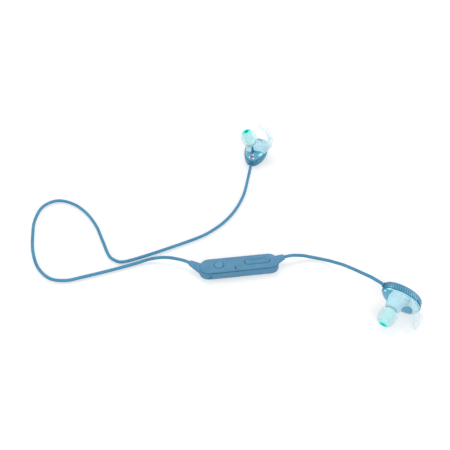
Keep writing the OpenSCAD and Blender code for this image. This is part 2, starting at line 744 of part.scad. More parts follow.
remote_bottom_casing();
remote_top_casing();
play_button();
volume_rocker();
charge_flap();
circuit_board();
battery_cell();
charging_port_shell();
charging_port_tongue();
play_switch();
volume_up_switch();
volume_down_switch();
radio_chip();
antenna();
microphone();
long_cable_boot();
short_cable_boot();
right_pose() back_cover();  // right_back_cover
right_pose() front_housing(true);  // right_front_housing
right_pose() driver_frame();  // right_driver_frame
right_pose() driver_magnet();  // right_driver_magnet
right_pose() voice_coil();  // right_voice_coil
right_pose() diaphragm();  // right_diaphragm
right_pose() nozzle_mesh();  // right_nozzle_mesh
right_pose() side_marker();  // right_side_marker
right_pose() cable_bushing();  // right_cable_bushing
right_pose() ear_fin();  // right_ear_fin
right_pose() ear_tip_core();  // right_ear_tip_core
right_pose() ear_tip_dome();  // right_ear_tip_dome
left_pose() back_cover();  // left_back_cover
left_pose() front_housing(false);  // left_front_housing
left_pose() driver_frame();  // left_driver_frame
left_pose() driver_magnet();  // left_driver_magnet
left_pose() voice_coil();  // left_voice_coil
left_pose() diaphragm();  // left_diaphragm
left_pose() nozzle_mesh();  // left_nozzle_mesh
left_pose() cable_bushing();  // left_cable_bushing
left_pose() ear_fin();  // left_ear_fin
left_pose() ear_tip_core();  // left_ear_tip_core
left_pose() ear_tip_dome();  // left_ear_tip_dome
long_cable();
short_cable();
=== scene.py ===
# %% [markdown]
# # Neckband earphones
# Two in-ear earbuds on one thin cable that is worn behind the neck, with a small remote in the
# line. The solid model is loaded first and is never moved: it is the frame in which every piece
# below is made, in metres. Pieces that the solids only sketch, such as the silicone fins, the ear
# tips and the cables, are modelled again and stand for them.

# %% Load the solid model
import json
from contextlib import contextmanager
from math import atan2, cos, pi, radians, sin

import bmesh
import bpy
from mathutils import Matrix, Vector
from mathutils.geometry import interpolate_bezier

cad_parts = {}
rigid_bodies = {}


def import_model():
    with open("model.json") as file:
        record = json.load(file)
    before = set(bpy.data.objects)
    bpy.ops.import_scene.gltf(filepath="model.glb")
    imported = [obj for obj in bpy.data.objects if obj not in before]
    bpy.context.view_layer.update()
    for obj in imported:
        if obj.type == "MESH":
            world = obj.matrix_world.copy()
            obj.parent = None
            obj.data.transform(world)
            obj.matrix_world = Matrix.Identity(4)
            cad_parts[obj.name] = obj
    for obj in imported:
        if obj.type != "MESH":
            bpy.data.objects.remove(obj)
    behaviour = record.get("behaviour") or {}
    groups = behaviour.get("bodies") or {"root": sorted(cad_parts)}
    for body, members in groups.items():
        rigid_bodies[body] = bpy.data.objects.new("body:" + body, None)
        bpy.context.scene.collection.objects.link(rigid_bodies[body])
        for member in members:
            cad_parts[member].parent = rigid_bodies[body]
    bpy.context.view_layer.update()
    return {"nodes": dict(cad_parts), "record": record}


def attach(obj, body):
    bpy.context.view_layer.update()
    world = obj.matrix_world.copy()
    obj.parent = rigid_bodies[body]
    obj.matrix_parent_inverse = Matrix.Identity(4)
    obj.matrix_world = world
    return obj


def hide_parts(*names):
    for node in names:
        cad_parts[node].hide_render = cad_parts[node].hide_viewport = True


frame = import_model()
MM = 0.001


# %% [markdown]
# ## Camera
# The picture was taken from the front and well above the table, with a long lens. A camera can be
# aimed with a constraint, but here its three axes are worked out from two angles, so that the
# remote lands on the pixel where the picture has it.

# %% Camera
PICTURE = 450  # width of the picture in pixels
FOCAL = 875  # focal length in the same pixels
SENSOR = 36  # width of the camera's sensor in millimetres
DISTANCE = 537 * MM
SHOWN_AT = (239.1, 270.5)  # the pixel on which the frame's origin lands
elevation, heading = radians(42), radians(8)

look = Vector((sin(heading) * cos(elevation), cos(heading) * cos(elevation), -sin(elevation)))
across = Vector((cos(heading), -sin(heading), 0))
upward = across.cross(look)
offset = [(pixel - PICTURE / 2) / FOCAL * DISTANCE for pixel in SHOWN_AT]

bpy.ops.object.select_all(action="DESELECT")
bpy.ops.object.camera_add()
camera = bpy.context.object
camera.data.sensor_width = SENSOR
camera.data.lens = FOCAL / PICTURE * SENSOR
axes = Matrix((across, upward, -look)).transposed().to_4x4()
to_origin = across * offset[0] - upward * offset[1] + look * DISTANCE
camera.matrix_world = Matrix.Translation(-to_origin) @ axes
bpy.context.scene.camera = camera
print("camera at", [round(x, 3) for x in camera.matrix_world.translation], "lens", camera.data.lens)

# %% [markdown]
# ## Hands for modelling
# Pieces are shaped in edit mode as by hand. These few helpers select one piece, open it for
# editing, pick faces or edges by their place, cut one shape out of another and finish with small
# rounded edges.

# %% Selecting and editing
def only(*pieces):
    """Selects these pieces and nothing else. The last one is active."""
    bpy.ops.object.select_all(action="DESELECT")
    for piece in pieces:
        piece.select_set(True)
    bpy.context.view_layer.objects.active = pieces[-1]


def added(name):
    """Names the primitive that was just added, with its place put into its mesh."""
    piece = bpy.context.object
    piece.name = piece.data.name = name
    only(piece)
    bpy.ops.object.transform_apply(location=True, rotation=True, scale=True)
    return piece


def copied(piece, name):
    only(piece)
    bpy.ops.object.duplicate()
    copy = bpy.context.object
    copy.name = copy.data.name = name
    return copy


@contextmanager
def editing(piece, kind="FACE"):
    """Opens the piece in edit mode, and closes it after the indented lines."""
    only(piece)
    bpy.ops.object.mode_set(mode="EDIT")
    bpy.ops.mesh.select_mode(type=kind)
    yield
    bpy.ops.object.mode_set(mode="OBJECT")


def pick(piece, kind, wanted):
    """Selects the verts, edges or faces of the open piece that are wanted, and no others."""
    bpy.ops.mesh.select_all(action="DESELECT")
    mesh = bmesh.from_edit_mesh(piece.data)
    for part in getattr(mesh, kind):
        if wanted(part):
            part.select_set(True)
    bmesh.update_edit_mesh(piece.data)


def at_height(z):
    """Edges or faces that lie at this height, in millimetres."""
    return lambda part: all(abs(v.co.z / MM - z) < 0.001 for v in part.verts)


def upright(edge):
    """Edges that run straight up."""
    a, b = (v.co for v in edge.verts)
    return (a.xy - b.xy).length < 1e-7

# %% Changing whole pieces
def modified(piece, kind, **settings):
    """Adds a modifier with these settings and applies it."""
    only(piece)
    bpy.ops.object.modifier_add(type=kind)
    modifier = piece.modifiers[-1]
    for key, value in settings.items():
        setattr(modifier, key, value)
    bpy.ops.object.modifier_apply(modifier=modifier.name)
    return piece


def combined(piece, operation, *tools):
    """Joins the tools to the piece or takes them from it, and removes them."""
    for tool in tools:
        modified(piece, "BOOLEAN", operation=operation, solver="EXACT", object=tool)
        bpy.data.objects.remove(tool)
    return piece


def cut(piece, *tools):
    return combined(piece, "DIFFERENCE", *tools)


def moved(piece, matrix):
    """Puts a place into the piece's mesh. A mirrored piece has its faces turned out again."""
    piece.matrix_world = matrix @ piece.matrix_world
    only(piece)
    bpy.ops.object.transform_apply(location=True, rotation=True, scale=True)
    if matrix.determinant() < 0:
        with editing(piece):
            bpy.ops.mesh.select_all(action="SELECT")
            bpy.ops.mesh.normals_make_consistent(inside=False)
    return piece


def smooth(piece, angle):
    """Shades the piece smooth, except across edges that are sharper than this."""
    only(piece)
    bpy.ops.object.shade_smooth_by_angle(angle=radians(angle))
    return piece


def softened(piece, width, angle=35):
    """Rounds every hard edge a little, as a mould does, and keeps flat faces flat in the light."""
    modified(piece, "BEVEL", width=width * MM, segments=2, limit_method="ANGLE",
             angle_limit=radians(angle))
    smooth(piece, angle)
    return modified(piece, "WEIGHTED_NORMAL", keep_sharp=True)


def dress(piece, finish):
    piece.data.materials.clear()
    piece.data.materials.append(finish.material)


def hand_over(piece, body, slot, finish, *nodes):
    """The finished piece gets its finish, rides on its body and stands for its solids."""
    dress(piece, finish)
    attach(piece, body)
    if nodes:
        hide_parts(*nodes)
    print(piece.name, "has", len(piece.data.polygons), "faces")

# %% [markdown]
# ## Cables
# Each cable is one soft round lead of 2 mm. A curve with a round bevel is the natural way to make
# it: the points are the route that the cable takes over the table, in millimetres, and each handle
# points from the last point to the next, so that the cable bends smoothly and keeps to the solid's
# own line.

# %% Routes of the cables
CABLE = 2 * MM
LONG_ROUTE = [
    (-27.9, 5.5, 4), (-34, 9.3, 4.6), (-43.5, 13.9, 3.7), (-53, 15.5, 2.1), (-62, 14, 1.1),
    (-76.5, 10.5, 1), (-96, 6.5, 1), (-105.5, 5.2, 1), (-115, 8.3, 1), (-122, 18.4, 1),
    (-125.4, 32.6, 1), (-126, 47.6, 1), (-125, 62.8, 1), (-120, 76, 1), (-110.4, 81, 1),
    (-100, 76.2, 1), (-91.6, 65.8, 1), (-85.6, 52.3, 1), (-82, 37.8, 1), (-78.6, 23.6, 1),
    (-75, 18.5, 1), (-70.4, 16.5, 1), (-60.4, 18.6, 1), (-41.3, 24.7, 1), (-21.2, 32, 1),
    (-11.3, 37.6, 1), (-1.8, 45.6, 1), (6.8, 56.6, 1), (14, 70.4, 1), (19.2, 85.7, 1.7),
    (23.8, 100, 2.8)]
SHORT_ROUTE = [
    (26.8, 3.5, 4), (32.7, 4.1, 4.4), (37.5, 4.5, 3.6), (41.8, 4.5, 2.6), (45.5, 4, 1.6),
    (49.5, 2.8, 1.1), (53, 0.6, 1.6), (56.2, -3, 3.4), (59, -7.7, 6), (61.4, -13, 9.2),
    (63.5, -19, 12.6), (65.2, -24.5, 15.8), (67.2, -29.7, 18.4), (69.3, -33.2, 19.6),
    (72.2, -35.5, 19.2), (75.4, -37, 17.5), (79.2, -38.8, 15.3)]
LONG_EXIT, SHORT_EXIT = (-29.5, 6.7, 4.2), (28.5, 3.8, 4.2)  # where they leave their boots
print("points on the routes:", len(LONG_ROUTE), "and", len(SHORT_ROUTE))

# %% Make the cables
CURVE_STEPS = 10
HANDLE = 6  # a handle is a sixth of the way between the two neighbours


def cable(name, route):
    """A round tube along the route, with the points that it follows."""
    curve = bpy.data.curves.new(name, "CURVE")
    curve.dimensions = "3D"
    curve.bevel_depth = CABLE / 2
    curve.bevel_resolution = 5
    curve.resolution_u = CURVE_STEPS
    curve.use_fill_caps = True
    line = curve.splines.new("BEZIER")
    line.bezier_points.add(len(route) - 1)
    points = [Vector(place) * MM for place in route]
    for k, point in enumerate(line.bezier_points):
        slope = (points[min(k + 1, len(points) - 1)] - points[max(k - 1, 0)]) / HANDLE
        point.handle_left_type = point.handle_right_type = "FREE"
        point.co = points[k]
        point.handle_left, point.handle_right = points[k] - slope, points[k] + slope
    followed = [points[0]]
    for first, last in zip(line.bezier_points, line.bezier_points[1:]):
        ends = first.co, first.handle_right, last.handle_left, last.co
        followed += interpolate_bezier(*ends, CURVE_STEPS + 1)[1:]
    piece = bpy.data.objects.new(name, curve)
    bpy.context.collection.objects.link(piece)
    only(piece)
    bpy.ops.object.convert(target="MESH")
    piece = bpy.context.object
    piece.name = piece.data.name = name
    return smooth(piece, 40), followed


CABLES = (("cable_to_right_earbud", LONG_ROUTE, "long_cable", LONG_EXIT),
          ("cable_to_left_earbud", SHORT_ROUTE, "short_cable", SHORT_EXIT))
for name, route, node, start in CABLES:
    piece, followed = cable(name, route)
    length = sum((b - a).length for a, b in zip(followed, followed[1:]))
    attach(piece, "earphones")
    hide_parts(node)
    print(name, "is", round(length / MM, 1), "mm long, with", len(piece.data.polygons), "faces")

# %% [markdown]
# ## Writing finishes as sums
# Every finish is a small node tree. Written node by node such a tree is long and hard to read, so
# one class wraps an output socket and lets Python's own + - * build the Math nodes, and another
# holds the material with its shader.

# %% Signals
class Signal:
    """One output socket of a finish, for use in sums."""

    def __init__(self, finish, socket):
        self.finish, self.socket = finish, socket

    def _math(self, operation, other):
        return self.finish.node("ShaderNodeMath", {"operation": operation}, {0: self, 1: other})

    def __add__(self, other):
        return self._math("ADD", other)

    def __sub__(self, other):
        return self._math("SUBTRACT", other)

    def __mul__(self, other):
        return self._math("MULTIPLY", other)

    __radd__, __rmul__ = __add__, __mul__


def tint(code):
    """A colour written as in a paint shop, turned into the shader's own linear numbers."""
    parts = [int(code[i:i + 2], 16) / 255 for i in (0, 2, 4)]
    return (*[c / 12.92 if c <= 0.04045 else ((c + 0.055) / 1.055) ** 2.4 for c in parts], 1)

# %% Finishes
class Finish:
    """A material in the making, with one main shader."""

    def __init__(self, name, **same_all_over):
        self.material = bpy.data.materials.new(name)
        self.material.use_nodes = True
        self.tree = self.material.node_tree
        self.tree.nodes.clear()
        self.shader = self.tree.nodes.new("ShaderNodeBsdfPrincipled")
        output = self.tree.nodes.new("ShaderNodeOutputMaterial")
        self.tree.links.new(self.shader.outputs[0], output.inputs["Surface"])
        self.place = self.node("ShaderNodeTexCoord", out="Object")
        self.set(**same_all_over)

    def _put(self, socket, value):
        if isinstance(value, Signal):
            self.tree.links.new(value.socket, socket)
        else:
            socket.default_value = value

    def _find(self, sockets, key):
        return next(s for i, s in enumerate(sockets) if key in (i, s.identifier, s.name))

    def node(self, kind, settings=None, sockets=None, out=0):
        """A node of this kind: its settings first, then the values or links of its sockets."""
        node = self.tree.nodes.new(kind)
        for key, value in (settings or {}).items():
            setattr(node, key, value)
        for key, value in (sockets or {}).items():
            self._put(self._find(node.inputs, key), value)
        return Signal(self, self._find(node.outputs, out))

    def set(self, **sockets):
        """Sets the main shader's sockets, with _ for the spaces in their names."""
        for key, value in sockets.items():
            name = key.replace("_", " ").title().replace("Ior", "IOR")
            self._put(self.shader.inputs[name], value)
        return self

    def noise(self, size, detail=2.0):
        """Soft noise from 0 to 1 with grains of about this size, in metres."""
        sockets = {"Vector": self.place, "Scale": 1 / size, "Detail": detail}
        return self.node("ShaderNodeTexNoise", {}, sockets)

    def attribute(self, name):
        """A number that the mesh itself holds at each vertex."""
        return self.node("ShaderNodeAttribute", {"attribute_name": name}, out="Fac")

    def blend(self, share, first, second):
        """From the first colour to the second."""
        sockets = {"Factor_Float": share, "A_Color": tint(first), "B_Color": tint(second)}
        return self.node("ShaderNodeMix", {"data_type": "RGBA"}, sockets, out="Result_Color")

    def spread(self, value, low, high):
        """A value's range low to high drawn out to 0 to 1."""
        sockets = {"Value": value, "From Min": low, "From Max": high}
        return self.node("ShaderNodeMapRange", {"clamp": True}, sockets)

    def mottle(self, cloud, dark, light):
        """A tone that drifts from dark to light over the middle of the noise's range."""
        return self.blend(self.spread(cloud, 0.3, 0.7), dark, light)

    def bump(self, height, depth, strength):
        sockets = {"Height": height, "Distance": depth, "Strength": strength}
        return self.node("ShaderNodeBump", {}, sockets, out="Normal")

# %% [markdown]
# ## Finish of the cable
# The jacket is soft blue rubber with a dull shine. A plain colour would look like a drawn line, so
# its tone drifts a little along the way, the shine is uneven where fingers polished it, and a fine
# grain breaks up the highlights.

# %% Cable jacket
jacket = Finish("cable_rubber", specular_ior_level=0.25)
drift, grain = jacket.noise(14 * MM), jacket.noise(0.5 * MM, 2)
jacket.set(base_color=jacket.mottle(drift, "448bb1", "4f94b9"),
           roughness=0.4 + 0.12 * grain,
           normal=jacket.bump(grain, 0.006 * MM, 0.3))
for name, *_ in CABLES:
    dress(bpy.data.objects[name], jacket)
print("dressed the cables in", jacket.material.name)

# %% [markdown]
# ## Remote: finish
# The remote's casing is moulded in a matte blue with a fine spark texture that is soft to the
# touch. The grain is bump and not colour, because a spark texture only scatters the light. Its
# shine drifts a little from place to place.

# %% Matte casing plastic
def moulded(name, dark, light, rough, grain=0.25, depth=0.018):
    """Coloured plastic or rubber, with the size and depth of its grain in millimetres."""
    finish = Finish(name, specular_ior_level=0.35)
    cloud, spark = finish.noise(6 * MM), finish.noise(grain * MM, 3)
    return finish.set(base_color=finish.mottle(cloud, dark, light),
                      roughness=rough + 0.2 * spark - 0.08 * cloud,
                      normal=finish.bump(spark, depth * MM, 0.6))


casing_plastic = moulded("casing_matte", "528aad", "5c93b5", rough=0.5)
button_plastic = moulded("remote_buttons", "568fb2", "6099ba", rough=0.42, grain=0.2, depth=0.01)
# The rocker's plastic is the buttons' plastic painted a shade darker: painted shade.
rocker_plastic_painted_shade = moulded("volume_rocker", "4b89ac", "5392b3", rough=0.42, grain=0.2, depth=0.01)
flap_rubber = moulded("flap_rubber", "578fb0", "5f96b5", rough=0.55, grain=0.18, depth=0.014)
boot_rubber = moulded("cable_boots", "4f8bb0", "5b95b8", rough=0.5, grain=0.2, depth=0.014)
print("remote finishes made")

# %% [markdown]
# ## Remote: lower casing
# A rounded tray. It starts as a block, whose upright edges are bevelled into wide corners and
# whose lower rim gets a soft rounding. Then the inside, the seat of the charging flap and the
# port's opening are cut out of it.

# %% Blocks
def plain_block(name, size, centre):
    place, scale = [c * MM for c in centre], [s * MM for s in size]
    bpy.ops.mesh.primitive_cube_add(size=1, location=place, scale=scale)
    return added(name)


def bevelled(piece, wanted, radius, steps):
    """Rounds the wanted edges."""
    with editing(piece, "EDGE"):
        pick(piece, "edges", wanted)
        bpy.ops.mesh.bevel(offset=radius * MM, segments=steps, affect="EDGES", clamp_overlap=False)
    return piece


def rounded_block(name, size, corner, low, centre=(0, 0), steps=10):
    """A block that stands at this height, with its upright edges rounded."""
    return bevelled(plain_block(name, size, (*centre, low + size[2] / 2)), upright, corner, steps)


def round_edge(piece, z, radius, steps=6):
    """Rounds the rim at this height."""
    return bevelled(piece, at_height(z), radius, steps)

# %% Measures of the remote
REMOTE = (49, 12, 7)
FRONT = -REMOTE[1] / 2
PARTING = 5.6  # height at which the casings meet
SEAM = 0.3
CORNER, CORNER_STEPS = 5.5, 14
WALL = 1.2
FLAP = {"size": (19.4, 0.9, 4.2), "centre": (-9.1, FRONT + 0.15, 3.0), "corner": 0.8, "gap": 0.1,
        "seat": 0.7}
PORT = {"size": (7.6, 2.5), "centre": (-11, 2.45), "room": 0.4}
NOTCH = {"radii": (1.75, 1.1, 0.62), "turn": -41, "centre": (-18.6, FRONT - 0.2, 2.45)}


def outline(inset, height):
    """The size of a block that is smaller than the remote by this inset all round."""
    return REMOTE[0] - 2 * inset, REMOTE[1] - 2 * inset, height


def inside(low, high, wall):
    """The room inside the casing's walls."""
    return rounded_block("room", outline(wall, high - low), CORNER - wall, low)


def flap_block(name, grow, depth, centre_y):
    """The flap's outline as a block that stands on the front face."""
    size = (FLAP["size"][0] + 2 * grow, FLAP["size"][2] + 2 * grow, depth)
    piece = rounded_block(name, size, FLAP["corner"] + grow, -depth / 2, steps=6)
    place = Vector((FLAP["centre"][0], centre_y, FLAP["centre"][2])) * MM
    return moved(piece, Matrix.Translation(place) @ Matrix.Rotation(pi / 2, 4, "X"))


def nail_notch():
    """A slanted slit across the flap's free edge, for a fingernail."""
    bpy.ops.mesh.primitive_uv_sphere_add(
        segments=32, ring_count=16, radius=1, rotation=(0, radians(NOTCH["turn"]), 0),
        location=[c * MM for c in NOTCH["centre"]], scale=[r * MM for r in NOTCH["radii"]])
    return added("notch")

# %% Lower casing
SEAT_BLOCK, OPENING_DEPTH = 2, 3

lower = rounded_block("remote_lower_casing", outline(0, PARTING - SEAM), CORNER, low=0,
                      steps=CORNER_STEPS)
round_edge(lower, z=0, radius=1.4)
seat = flap_block("seat", FLAP["gap"], SEAT_BLOCK, FRONT - SEAT_BLOCK / 2 + FLAP["seat"])
width, height = (side + PORT["room"] for side in PORT["size"])
opening = plain_block("opening", (width, OPENING_DEPTH, height),
                      (PORT["centre"][0], FRONT + WALL, PORT["centre"][1]))
cut(lower, inside(low=1, high=PARTING + 1, wall=WALL), seat, opening, nail_notch())
softened(lower, width=0.12)
hand_over(lower, "earphones", "remote_casing", casing_plastic, "remote_bottom_casing")

# %% [markdown]
# ## Remote: upper casing
# A shallow lid whose top face stops short of the ends, which gives the remote its sloping
# shoulders. The lid is made as the tray was, its top face is drawn in lengthwise before its rim is
# rounded, and the button openings are cut last.

# %% Measures of the buttons
BUTTON_Y, BUTTON_TOP, BUTTON_DEPTH = -0.4, 7.5, 2.1
PLAY = {"x": -12.5, "d": 5.6, "dish": ((0.5, 0.05), (0.6, 0.07), (0.6, 0.03))}
ROCKER = {"x": 11, "size": (15.2, 4), "sink": 0.26, "reach": 7}
MIC = {"size": (0.5, 2.2), "corner": 0.24, "centre": (-2.8, -4)}
GAP = 0.25  # round the buttons
LEDGE = 0.2  # the lid stands back from the tray by this much
LIP = 0.8  # and its lower lip by this much
SHOULDER = 2.4  # the top face is shorter than the remote by this much
DRILL, DRILL_LOW = 4, 5  # height and foot of the blocks that cut the openings


def play_disc(name, radius, depth, z):
    bpy.ops.mesh.primitive_cylinder_add(
        vertices=64, radius=radius * MM, depth=depth * MM,
        location=(PLAY["x"] * MM, BUTTON_Y * MM, z * MM))
    return added(name)


def rocker_block(name, grow, height, low):
    length, width = (side + 2 * grow for side in ROCKER["size"])
    return rounded_block(name, (length, width, height), width / 2 - 0.02, low,
                         (ROCKER["x"], BUTTON_Y), steps=12)

# %% Upper casing
upper = rounded_block("remote_upper_casing", outline(LEDGE, REMOTE[2] - PARTING), CORNER - LEDGE,
                      PARTING, steps=CORNER_STEPS)
with editing(upper):
    pick(upper, "faces", at_height(REMOTE[2]))
    share = (REMOTE[0] - SHOULDER) / REMOTE[0]
    bpy.ops.transform.resize(value=(share, 1, 1), center_override=(0, 0, REMOTE[2] * MM))
round_edge(upper, z=REMOTE[2], radius=1.1)
play_hole = play_disc("play_hole", PLAY["d"] / 2 + GAP, DRILL, REMOTE[2])
rocker_hole = rocker_block("rocker_hole", GAP, DRILL, DRILL_LOW)
mic_slot = rounded_block("mic_slot", (*MIC["size"], DRILL), MIC["corner"], DRILL_LOW, MIC["centre"],
                         steps=5)
lip = rounded_block("lip", outline(LIP, height=1.2), CORNER - LIP, PARTING - 0.9)
combined(upper, "UNION", lip)
cut(upper, inside(low=PARTING - 2, high=6.1, wall=1.85), play_hole, rocker_hole, mic_slot)
softened(upper, width=0.14)
hand_over(upper, "earphones", "remote_casing", casing_plastic, "remote_top_casing")

# %% [markdown]
# ## Remote: play button and volume rocker
# Both are separate caps that stand half a millimetre proud in their openings. The play button is
# dished a little for the fingertip, and the rocker sinks towards its middle, so that the thumb
# feels its two ends.

# %% Play button
play = play_disc("play_button_cap", PLAY["d"] / 2, BUTTON_DEPTH, BUTTON_TOP - BUTTON_DEPTH / 2)
round_edge(play, z=BUTTON_TOP, radius=0.45, steps=5)
with editing(play):
    pick(play, "faces", at_height(BUTTON_TOP))
    for step, sink in PLAY["dish"]:
        bpy.ops.mesh.inset(thickness=step * MM)
        bpy.ops.transform.translate(value=(0, 0, -sink * MM))
smooth(play, 40)
hand_over(play, "play_button", "remote_button", button_plastic, "play_button")

# %% Volume rocker
def middle_of_top(vertex):
    place = vertex.co / MM
    return abs(place.x - ROCKER["x"]) < 0.1 and place.z > BUTTON_TOP - 0.6


rocker = rocker_block("volume_rocker_cap", 0, BUTTON_DEPTH, BUTTON_TOP - BUTTON_DEPTH)
round_edge(rocker, z=BUTTON_TOP, radius=0.5, steps=5)
with editing(rocker):
    for x in range(-6, 7):
        bpy.ops.mesh.select_all(action="SELECT")
        bpy.ops.mesh.bisect(plane_co=((ROCKER["x"] + x) * MM, 0, 0), plane_no=(1, 0, 0))
    pick(rocker, "verts", middle_of_top)
    bpy.ops.transform.translate(
        value=(0, 0, -ROCKER["sink"] * MM), use_proportional_edit=True,
        proportional_edit_falloff="SMOOTH", proportional_size=ROCKER["reach"] * MM)
smooth(rocker, 40)
# The rocker wears the buttons' plastic painted darker, as painted shade.
hand_over(rocker, "volume_rocker", "remote_button", rocker_plastic_painted_shade, "volume_rocker")

# %% [markdown]
# ## Remote: flap over the charging port
# A flat rubber cover set into the front wall, with a boss behind it that plugs the port. The boss
# is a small block with softened back edges. A Boolean union makes flap and boss one piece.

# %% Charging flap
BOSS = {"size": (6.2, 1, 1.1), "y": FRONT + 1, "back": FRONT + 1.3}

flap = flap_block("charging_flap", 0, FLAP["size"][1], FLAP["centre"][1])
outer = FLAP["centre"][1] - FLAP["size"][1] / 2
bevelled(flap, lambda e: all(abs(v.co.y / MM - outer) < 0.001 for v in e.verts), 0.22, 3)
boss = plain_block("boss", BOSS["size"], (PORT["centre"][0], BOSS["y"], PORT["centre"][1]))
bevelled(boss, lambda e: all(v.co.y / MM > BOSS["back"] for v in e.verts), 0.2, 2)
combined(flap, "UNION", boss)
cut(flap, nail_notch())
smooth(flap, 40)
hand_over(flap, "charge_flap", "charge_flap", flap_rubber, "charge_flap")

# %% [markdown]
# ## Remote: cable boots
# A rubber boot flares from each cable into the casing's end and keeps the cable from kinking. It
# is a stack of oval rings: a disc is extruded step by step along its axis and scaled down each
# time, and the end is rounded over.

# %% Stacks of rings
def stack(name, rings, sides=48):
    """Oval rings (half width, half length, height), each extruded from the one before."""
    w, l, z = (value * MM for value in rings[0])
    bpy.ops.mesh.primitive_circle_add(
        vertices=sides, radius=MM, fill_type="NGON", location=(0, 0, z))
    piece = added(name)
    with editing(piece):
        bpy.ops.mesh.select_all(action="SELECT")
        bpy.ops.transform.resize(value=(rings[0][0], rings[0][1], 1), center_override=(0, 0, z))
        for ring in rings[1:]:
            w1, l1, z1 = (value * MM for value in ring)
            bpy.ops.mesh.extrude_region_move(TRANSFORM_OT_translate={"value": (0, 0, z1 - z)})
            bpy.ops.transform.resize(value=(w1 / w, l1 / l, 1), center_override=(0, 0, z1))
            w, l, z = w1, l1, z1
        bpy.ops.mesh.select_all(action="SELECT")
        bpy.ops.mesh.normals_make_consistent(inside=False)
    return piece


def quarter(steps):
    """Angles from 0 to a quarter turn."""
    return [pi / 2 * k / steps for k in range(steps + 1)]

# %% Boots
BOOT_END, BOOT_ROOT, BOOT_ROUND, BOOT_STEPS = 3.5 / 2, 2.5, 0.25, 8


def boot(name, root, end, width, node):
    """Narrows from an oval root of this width to the cable, with a rounded end."""
    axis = Vector(end) - Vector(root)
    length = axis.length
    rings = []
    for k in range(BOOT_STEPS + 1):
        t = k / BOOT_STEPS
        z = length * t - (BOOT_ROUND if t == 1 else 0)
        rings.append((width / 2 + (BOOT_END - width / 2) * t,
                      BOOT_ROOT + (BOOT_END - BOOT_ROOT) * t, z))
    for a in quarter(4)[1:]:
        radius = BOOT_END - BOOT_ROUND * (1 - cos(a))
        rings.append((radius, radius, length - BOOT_ROUND + BOOT_ROUND * sin(a)))
    piece = stack(name, rings)
    along = axis.normalized()
    side = Vector((0, 0, 1)).cross(along).normalized()
    turn = Matrix((side, along.cross(side), along)).transposed().to_4x4()
    moved(piece, Matrix.Translation(Vector(root) * MM) @ turn)
    smooth(piece, 40)
    hand_over(piece, "earphones", "cable_boot", boot_rubber, node)


boot("boot_of_long_cable", (-20.7, -0.7, 3.2), LONG_EXIT, 8.3, "long_cable_boot")
boot("boot_of_short_cable", (22.5, 1.9, 3.6), SHORT_EXIT, 6.6, "short_cable_boot")

# %% [markdown]
# ## Earbuds: where they lie
# Both earbuds are one design and its mirror image, so each piece is modelled once, in the earbud's
# own frame with the cable towards -Y and the nozzle upward. Then it is copied into each place. The
# right one lies on its back, the left one has rolled over onto the edge of its cover, its ear tip
# and the end of its wing.

# %% Places of the earbuds
def turned(degrees):
    """Turns about X, then Y, then Z."""
    x, y, z = (radians(d) for d in degrees)
    return Matrix.Rotation(z, 4, "Z") @ Matrix.Rotation(y, 4, "Y") @ Matrix.Rotation(x, 4, "X")


def placed(place, degrees=(0, 0, 0)):
    """A place in millimetres and the turns there."""
    return Matrix.Translation(Vector(place) * MM) @ turned(degrees)


MIRROR = Matrix.Scale(-1, 4, (1, 0, 0))
EARBUD = {
    "right": placed((28.8, 111.2, 4.8), (0, 0, -24)),
    "left": placed((87.9, -45.2, 9.33), (-100.2, 61.2, 142.9)) @ MIRROR,
}
NOZZLE = placed((-0.9, -2.3, 3), (4, -19, 0))
FIXED = {"right": "earphones", "left": "earphones"}
PULLED = {"right": "right_ear_tip", "left": "left_ear_tip"}


def both(master, bodies, slot, finish, node):
    """Copies a finished master into both earbuds and removes it."""
    for side, matrix in EARBUD.items():
        piece = moved(copied(master, f"{side}_{master.name}"), matrix)
        hand_over(piece, bodies[side], slot, finish, *([f"{side}_{node}"] if node else []))
    bpy.data.objects.remove(master)


print("earbuds:", list(EARBUD))

# %% [markdown]
# ## Earbuds: finishes of the shell
# The back cover is satin plastic. The front housing is lacquered in a metallic teal with a deep
# gloss: a metallic base under a clear coat gives the bright, sharp lights on a coloured ground. The
# neck under the tip is darker.

# %% Shell finishes
def lacquered(name, dark, light, metal, rough, coat):
    """Metallic lacquer. The coat's index of refraction says how strongly it mirrors."""
    finish = Finish(name, coat_weight=1.0, coat_roughness=0.04, coat_ior=coat,
                    specular_ior_level=0.4)
    flow, flake = finish.noise(5 * MM), finish.noise(0.12 * MM, 1)
    return finish.set(base_color=finish.mottle(flow, dark, light),
                      metallic=metal + 0.2 * flake,
                      roughness=rough + 0.1 * flake,
                      normal=finish.bump(flow, 0.02 * MM, 0.2))


lacquer = lacquered("earbud_housings", "4499ba", "50a6c6", metal=0.45, rough=0.1, coat=1.7)
rib_lacquer = lacquered("grip_ribs", "4fa0bf", "5bacc9", metal=0.1, rough=0.5, coat=1.3)
# The grooves' lacquer is the ribs' lacquer painted darker: painted shade in the grooves.
painted_shade_groove_lacquer = lacquered("grip_band_painted_shade", "2b7a99", "3787a5", metal=0.1, rough=0.5, coat=1.3)
cover_plastic = moulded("earbud_covers", "4585ad", "508fb5", rough=0.28, grain=0.2, depth=0.006)
neck_plastic = moulded("earbud_necks", "357a97", "4289a6", rough=0.22, grain=0.3, depth=0.004)
bushing_rubber = moulded("cable_bushings", "2a6488", "347093", rough=0.45, grain=0.2, depth=0.012)
marker_paint = moulded("marker_red", "b05868", "bd6675", rough=0.3, grain=0.3, depth=0.006)
print("shell finishes made")

# %% [markdown]
# ## Earbuds: back cover and front housing
# Seen from the back the shell is an egg that narrows towards the cable. Oval rings are stacked for
# the cover and for the dome, and a taper along Y, which is one modifier, turns the ovals into eggs.

# %% Outlines of the shell
SHELL = {"w": 15.0, "l": 25.5, "taper": 0.12, "cover": 4.8, "edge": 2.2, "rim": 1.2, "dome": 4.5,
         "draw": 4.6, "reveal": 0.3, "sides": 96}


def oval(inset, z):
    return SHELL["w"] / 2 - inset, SHELL["l"] / 2 - inset, z


